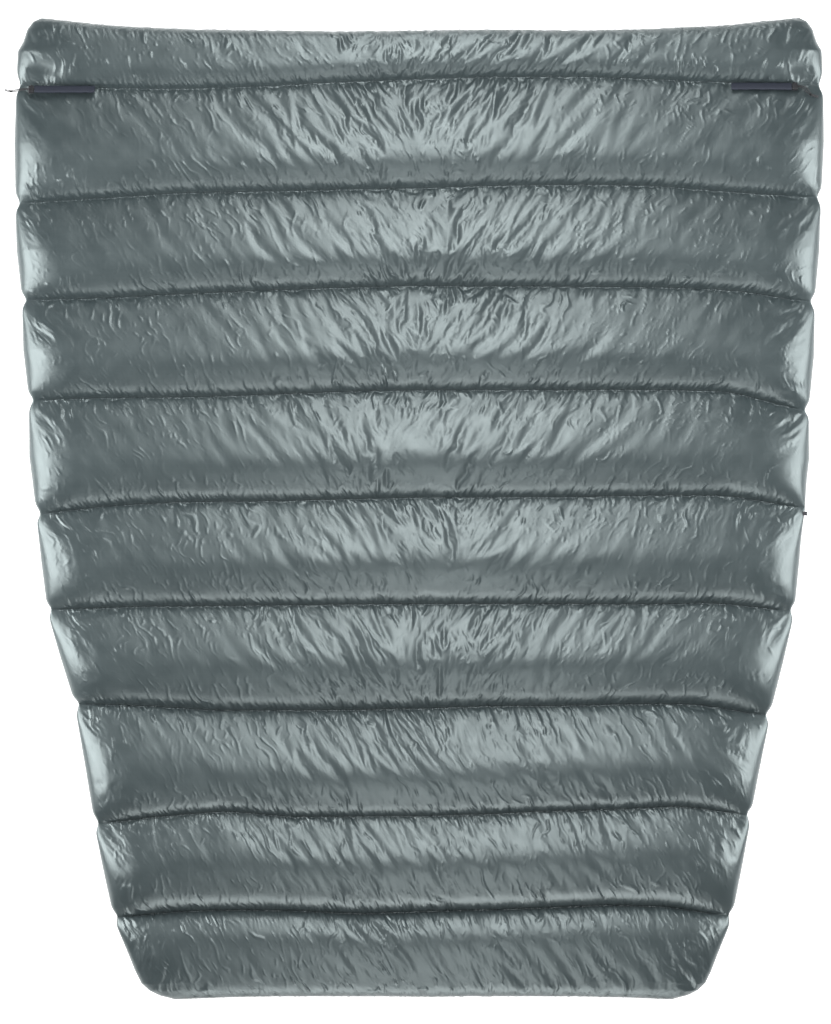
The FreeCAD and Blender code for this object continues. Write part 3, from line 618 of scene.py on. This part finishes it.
def smoothed(values, reach):
    """Values averaged down the quilt over a few rows."""
    kernel = np.hanning(2 * (reach // 2) + 3)[1:-1]
    kernel /= kernel.sum()
    edge = len(kernel) // 2
    padded = np.pad(values, ((edge, edge), (0, 0)), mode="edge")
    found = np.zeros_like(values)
    for k, weight in enumerate(kernel):
        found += F(weight) * padded[k:k + len(values)]
    return found


def settle(side, plan):
    """Lets cloth that is longer than the filled shape buckle on it, from coarse to fine.

    plan gives for each resolution: level, steps, pull to the filled shape, stiffness in bending.
    """
    moved = None
    for level, steps, pull, stiff in plan:
        shape, chamber, share, lines = filled(level, side)
        if moved is None:
            moved = [np.zeros_like(shape[0]) for _ in range(3)]
            moved[2] += (2.2 * lean_streaks(shape[0], shape[1], 40, 21)).astype(F)
        else:
            moved = [finer(v) for v in moved]
            width = 40 / 2 ** level
            seed_folds = 0.35 / level * lean_streaks(shape[0], shape[1], width, 31 + 2 * level)
            to_seam = (np.minimum(share, 1 - share) * -np.diff(LINE_Y)[chamber])[:, None]
            puckers = 0.9 * np.exp(-to_seam / 9) * lean_streaks(shape[0], shape[1], 13, 81)
            moved[2] += (seed_folds + puckers).astype(F)
        x, y, z = [rest + move for rest, move in zip(shape, moved)]
        pairs = neighbours(x.shape)
        own = lengths(shape, spare(shape, chamber, share), pairs)
        draw = np.random.default_rng(61)
        knots = np.linspace(-850, 850, 250)
        ripple = [np.interp(shape[0][0], knots, draw.normal(size=len(knots))).astype(F)
                  for _ in range(2 * len(lines))]
        pinned_y = [shape[1][row] + 0.5 * ripple[k] for k, row in enumerate(lines)]
        pinned_z = [shape[2][row] + 0.4 * ripple[-1 - k] for k, row in enumerate(lines)]
        for _ in range(steps):
            for (a, b), length in zip(pairs, own):
                dx, dy, dz = x[b] - x[a], y[b] - y[a], z[b] - z[a]
                part = 0.5 - 0.5 * length / np.sqrt(dx * dx + dy * dy + dz * dz)
                for axis, change in ((x, dx), (y, dy), (z, dz)):
                    change *= part
                    axis[a] += change
                    axis[b] -= change
            lift = z - shape[2]
            z += stiff * bending(lift) - pull * lift
            for axis, rest in ((x, shape[0]), (y, shape[1])):
                drift = axis - rest
                axis += 0.5 * stiff * bending(drift) - DRAG * drift
            for k, row in enumerate(lines):
                x[row], y[row], z[row] = shape[0][row], pinned_y[k], pinned_z[k]
            for column in (0, -1):
                for axis, rest in zip((x, y, z), shape):
                    drift = axis[:, column] - rest[:, column]
                    drift[1:-1] = 0.25 * (drift[:-2] + drift[2:]) + 0.5 * drift[1:-1]
                    axis[:, column] = rest[:, column] + 0.8 * drift
        if side < 0:
            np.maximum(z, 0.3, out=z)
        moved = [now - rest for now, rest in zip((x, y, z), shape)]
        hold = np.exp(-(from_sides(shape) / 12) ** 2)
        moved = [v + hold * (smoothed(v, 10 * 2 ** level) - v) for v in moved]
    if side > 0:
        moved[2] += creases(shape, chamber, share)
    return [rest + move for rest, move in zip(shape, moved)], lines


def upward(points):
    """Unit normals of a grid of points, turned up."""
    along, down = np.gradient(points, axis=1), np.gradient(points, axis=0)
    normal = np.cross(down, along)
    normal /= np.linalg.norm(normal, axis=-1, keepdims=True) + 1e-12
    return normal


SHELL_PLAN = ((0, 250, 0.001, 0.008), (1, 200, 0.001, 0.025), (2, 210, 0.001, 0.035))
LINER_PLAN = ((0, 100, 0.006, 0.02), (1, 100, 0.006, 0.03))

shell, shell_lines = settle(1, SHELL_PLAN)
liner, liner_lines = settle(-1, LINER_PLAN)


def grid_mesh(name, points, normals, material, up=True):
    """A grid of points in millimetres as a smooth mesh, with its own normals where they are given."""
    rows, columns = points.shape[:2]
    index = np.arange(rows * columns).reshape(rows, columns)
    quads = np.stack([index[:-1, :-1], index[1:, :-1], index[1:, 1:], index[:-1, 1:]], -1).reshape(-1, 4)
    if not up:
        quads = quads[:, ::-1]
    mesh = bpy.data.meshes.new(name)
    mesh.vertices.add(rows * columns)
    mesh.vertices.foreach_set("co", (points * MM).astype(F).ravel())
    mesh.loops.add(quads.size)
    mesh.loops.foreach_set("vertex_index", quads.astype(np.int32).ravel())
    mesh.polygons.add(len(quads))
    mesh.polygons.foreach_set("loop_start", np.arange(0, quads.size, 4, dtype=np.int32))
    mesh.update(calc_edges=True)
    mesh.polygons.foreach_set("use_smooth", np.ones(len(quads), bool))
    if normals is not None:
        turned = normals if up else -normals
        mesh.normals_split_custom_set_from_vertices(turned.reshape(-1, 3).astype(float).tolist())
    piece = bpy.data.objects.new(name, mesh)
    scene.collection.objects.link(piece)
    mesh.materials.append(material)
    return piece


TUCK_DEPTHS = (0.6, 1.8, 4.0, 8.0)


def tucked(points):
    """The shell with its side edges, head edge and foot edge turned under the liner."""
    for axis in (1, 0):
        points = np.swapaxes(points, 0, 1) if axis == 1 else points
        first, last = points[0], points[-1]
        strips = []
        for edge, inside in ((first, points[6]), (last, points[-7])):
            way = inside - edge
            way[:, 2] = 0
            way /= np.linalg.norm(way, axis=1, keepdims=True) + 1e-9
            rows = []
            for depth in TUCK_DEPTHS:
                cap = math.sqrt(1 - (1 - depth / ROUNDING) ** 2)
                row = edge + way * (depth - 0.5)
                row[:, 2] = edge[:, 2] * (1 - cap)
                rows.append(row)
            strips.append(np.stack(rows))
        points = np.concatenate([strips[0][::-1], points, strips[1]])
        points = np.swapaxes(points, 0, 1) if axis == 1 else points
    return points


shell_grid = tucked(np.stack(shell, -1).astype(float))
shell_normals = upward(shell_grid)


def across_seam(piece, number):
    """Bakes the piece's transform into its mesh. The last seam is within the foot box, so its piece goes with
    the foot box instead.
    """
    if number == len(SEAMS) - 1:
        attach(piece, "foot_box")
        return
    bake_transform(piece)


def panel_rows(grid, lines, number):
    """The rows from the middle of one chamber to the middle of the next. The end panels reach the edges."""
    middles = [(a + b) // 2 for a, b in zip(lines, lines[1:])]
    first = 0 if number == 0 else middles[number]
    last = len(grid) - 1 if number == len(SEAMS) - 1 else middles[number + 1]
    return slice(first, last + 1)


for number, label in enumerate(SEAMS):
    rows = panel_rows(shell_grid, [row + len(TUCK_DEPTHS) for row in shell_lines], number)
    piece = grid_mesh(f"shell_panel_at_{label}", shell_grid[rows], shell_normals[rows], shell_fabric)
    across_seam(piece, number)
    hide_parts(*[f"{chamber}_{layer}" for chamber in CHAMBERS[number:number + 2]
                         for layer in ("shell", "down")])

# the liner's side edges are drawn out to meet the shell's
EDGE_COLUMNS = 8
liner_grid = np.stack(liner, -1).astype(float)
shell_edge = np.stack(shell, -1).astype(float)
shell_edge = shell_edge[::(len(shell_edge) - 1) // (len(liner_grid) - 1)]
for column, inward in ((0, 1), (-1, -1)):
    shift = shell_edge[:, column] - liner_grid[:, column]
    for k in range(EDGE_COLUMNS):
        liner_grid[:, column + inward * k] += shift * (1 - k / EDGE_COLUMNS)
liner_normals = upward(liner_grid)
for number, label in enumerate(SEAMS):
    rows = panel_rows(liner_grid, liner_lines, number)
    name = f"liner_panel_at_{label}"
    piece = grid_mesh(name, liner_grid[rows], liner_normals[rows], liner_fabric, up=False)
    across_seam(piece, number)
    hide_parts(f"{CHAMBERS[number]}_liner", f"{CHAMBERS[number + 1]}_liner")

# ---------------------------------------------------------------- under layer of the foot box


def under_layer():
    """Shell below and liner under the feet, with a rolled hem at the mouth of the pocket."""
    across = np.linspace(0, 1, 329)
    place = 2 * across - 1
    head, foot = LINE_Y[8] - 3, LINE_Y[10]
    down = np.linspace(0, 1, 80) ** 0.9
    low, high = [], []
    for share in down:
        y = head + (foot - head) * share
        row_y = y + bow(10, across) * share
        half = np.interp(y, OUTLINE_Y, OUTLINE_X) - 4 - 6 * math.exp(-((y - LINE_Y[9]) / 18) ** 2)
        half -= 6 * math.exp(-((y - LINE_Y[8]) / 18) ** 2)
        from_edge = (1 - np.abs(place)) * half
        cap = np.sqrt(1 - np.clip(1 - from_edge / ROUNDING, 0, 1) ** 2)
        rise = 9 * np.exp(-((y - head) / 14) ** 2) + 47 * ease(foot + 100, foot, y) ** 1.3
        shift = np.interp(y, SIDE_SHIFT_Y[::-1], SIDE_SHIFT[::-1])
        fold = 1.1 * np.abs(lean_streaks(place * half, np.full_like(place, y), 46, 77))
        fold += 0.5 * np.abs(lean_streaks(place * half, np.full_like(place, y), 17, 79))
        z = 50 + (np.maximum(rise, 0) - 50) * cap + fold * cap
        low.append(np.stack([place * half + shift, row_y, z], -1))
        lift = 30.5 - 17 * np.exp(-((y - head) / 12) ** 2) + 10 * ease(foot + 110, foot + 20, y)
        inner = half - 6
        z = 45 + (lift - 45) * cap + (fold - 1.0) * 0.8 * cap
        high.append(np.stack([place * inner + shift, row_y, z], -1))
    low, high = np.stack(low), np.stack(high)[:74]
    hem = []
    for k in range(1, 6):
        a = math.pi * k / 6
        row = low[0] * (1 + math.cos(a)) / 2 + high[0] * (1 - math.cos(a)) / 2
        row[:, 1] += 3.2 * math.sin(a)
        hem.append(row)
    return np.concatenate([low[::-1], np.stack(hem)]), np.concatenate([np.stack(hem[-1:]), high])


outer, inner = under_layer()
for name, points, material, slot_name, node_names in (
    ("foot_box_under_panel", outer, shell_fabric, "shell_fabric",
     ("foot_box_under_shell", "foot_box_under_down")),
    ("foot_box_pocket_floor", inner, liner_fabric, "liner_fabric",
     ("foot_box_under_liner",)),
):
    piece = grid_mesh(name, points, None, material, up=name.endswith("floor"))
    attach(piece, "foot_box")
    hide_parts(*node_names)

# ---------------------------------------------------------------- stitching

STITCH_PITCH = 3.4
STITCH_LENGTH = 2.5
STITCH_HALF = 0.36
STITCH_MARGIN = 8  # left bare at each end of a row


def stitches(number):
    """One row of lockstitch along a seam, each stitch a small rounded bar on the pinched cloth."""
    row = shell_lines[number + 1]
    line = np.stack([v[row] for v in shell], -1).astype(float)
    run = np.concatenate([[0], np.cumsum(np.linalg.norm(np.diff(line, axis=0), axis=1))])
    count = int((run[-1] - 2 * STITCH_MARGIN) / STITCH_PITCH)
    points, faces = [], []
    section = [(math.cos(a), math.sin(a)) for a in np.linspace(0, math.pi, 4)]
    for k in range(count):
        start = STITCH_MARGIN + k * STITCH_PITCH
        for place, thick, rise in ((0, 0.35, 0.0), (0.3, 1.0, 0.5), (0.7, 1.0, 0.5), (1, 0.35, 0.0)):
            at = start + place * STITCH_LENGTH
            centre = [np.interp(at, run, line[:, axis]) for axis in range(3)]
            for across, up in section:
                points.append((
                    centre[0] * MM,
                    (centre[1] + across * STITCH_HALF * thick) * MM,
                    (centre[2] + 0.15 + rise * 0.6 + up * STITCH_HALF * thick) * MM,
                ))
        first = len(points) - 16
        for ring in range(3):
            for side in range(3):
                a = first + ring * 4 + side
                faces.append((a, a + 1, a + 5, a + 4))
    piece = mesh_piece(f"{SEAMS[number]}_lockstitch", points, faces, thread)
    across_seam(piece, number)
    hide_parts(f"{SEAMS[number]}_stitching")


for number in range(len(SEAMS)):
    stitches(number)

# ---------------------------------------------------------------- tapes, locks and edge loop


TAPE_LENGTH, TAPE_WIDTH, TAPE_HEIGHT = 122.0, 17.0, 5.0
TAPE_WALL = 0.5
TAPE_START = 6.5  # from the lock's middle


def tape(side):
    """The channel tape: a flat woven tube with open ends, which the cord runs through."""
    direction = LOCKS[side][0]
    middle, along, out = lock_frame(side)
    draw = np.random.default_rng(17 if side == "left" else 18)
    wobble = [draw.normal(size=14) for _ in range(3)]
    points, faces = [], []
    rings, ring = 62, 28
    for skin in (0, 1):
        for k in range(rings):
            at = k / (rings - 1)
            x = -direction * (TAPE_START + at * TAPE_LENGTH)
            side_move = 0.35 * np.interp(at, np.linspace(0, 1, 14), wobble[0])
            puff = 1 + 0.10 * np.interp(at, np.linspace(0, 1, 14), wobble[1])
            for a in np.linspace(0, 2 * math.pi, ring, endpoint=False):
                c, s = math.cos(a), math.sin(a)
                flat = math.copysign(abs(c) ** 0.75, c) * (TAPE_WIDTH / 2 - skin * TAPE_WALL)
                thick = math.copysign(abs(s) ** 0.6, s) * (TAPE_HEIGHT / 2 * puff - skin * TAPE_WALL)
                flat, thick = flat + side_move, thick + 0.12 * math.sin(x * 1.7) * (abs(c) > 0.7)
                place = middle + np.array((x, 0, 0)) + along * flat + out * thick
                points.append(place * MM)
        base = skin * rings * ring
        for k in range(rings - 1):
            for j in range(ring):
                a, b = base + k * ring + j, base + k * ring + (j + 1) % ring
                quad = (a, b, b + ring, a + ring)
                faces.append(quad if skin == 0 else quad[::-1])
    for k in (0, rings - 1):
        for j in range(ring):
            a, b = k * ring + j, k * ring + (j + 1) % ring
            faces.append((a, b, b + rings * ring, a + rings * ring))
    piece = mesh_piece(f"channel_tape_woven_{side}", points, faces, navy_tape)
    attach(piece, "chamber_1")
    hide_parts(f"channel_tape_{side}")


def spring(side):
    """The coil between a lock's body and its plunger, which on the real lock shortens as the button goes in;
    here it is a fixed copy of the imported spring's mesh.
    """
    name = f"cord_lock_spring_{side}"
    packed = frame["nodes"][name].data
    points = np.array([v.co for v in packed.vertices], float)
    faces = [p.vertices for p in packed.polygons]
    piece = mesh_piece(f"cord_lock_coil_{side}", points, faces, spring_steel)
    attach(piece, "chamber_1")
    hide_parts(name)
    joint = next(j for j in frame["joints"] if j["name"] == f"cord_lock_press_{side}")
    inward = np.array(joint["axis"], float)
    along = points @ inward
    points[along.argmax()].tolist()
    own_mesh(piece)


for side in LOCKS:
    tape(side)
    for part, material in (("cord_lock_body", lock_plastic), ("cord_lock_plunger", lock_plastic),
                           ("drawcord_in_channel", cord_sheath)):
        give(frame["nodes"][f"{part}_{side}"], material)
    spring(side)
give(frame["nodes"]["edge_loop_right"], webbing)

# ---------------------------------------------------------------- floor, light, world


def plain(name, colour, glow):
    return shader(name, colour, 0.9, Emission_Color=(1, 1, 1, 1), Emission_Strength=glow)[0]


FLOOR_HALF, FLOOR_Z = 30, -0.0006
floor_corners = [(x * FLOOR_HALF, y * FLOOR_HALF, FLOOR_Z) for x, y in ((-1, -1), (1, -1), (1, 1), (-1, 1))]
paper = plain("floor_paper", (0.93, 0.93, 0.93), 0.6)
floor = mesh_piece("floor", floor_corners, [(0, 1, 2, 3)], paper, smooth=False)


def softbox(name, place, aim, width, height, power):
    light = bpy.data.lights.new(name, "AREA")
    light.shape = "RECTANGLE"
    light.size, light.size_y = width, height
    light.energy = power
    lamp = bpy.data.objects.new(name, light)
    lamp.location = place
    lamp.rotation_euler = (Vector(aim) - Vector(place)).to_track_quat("-Z", "Y").to_euler()
    scene.collection.objects.link(lamp)


softbox("key_strip", (0.05, 1.35, 1.8), (0.05, 1.1, 0), 0.5, 2.3, 38)
softbox("head_bank", (0.05, 3.0, 1.2), (0.05, 0.6, 0), 0.8, 1.5, 24)
softbox("foot_strip", (0.03, -1.5, 1.7), (0.03, -0.9, 0), 0.5, 2.0, 12)
softbox("foot_bank", (0.05, -3.0, 0.8), (0.05, -0.3, 0), 1.8, 1.1, 32)
softbox("left_bank", (-2.1, 0.1, 1.0), (-0.75, 0.1, 0), 1.9, 1.1, 64)
softbox("right_bank", (2.1, 0.15, 1.0), (0.75, 0.15, 0), 1.9, 1.1, 54)

world = bpy.data.worlds.new("studio")
scene.world = world
world.use_nodes = True
background = world.node_tree.nodes["Background"]
background.inputs["Color"].default_value = (1, 1, 1, 1)
background.inputs["Strength"].default_value = 0.15
scene.view_settings.view_transform = "Standard"
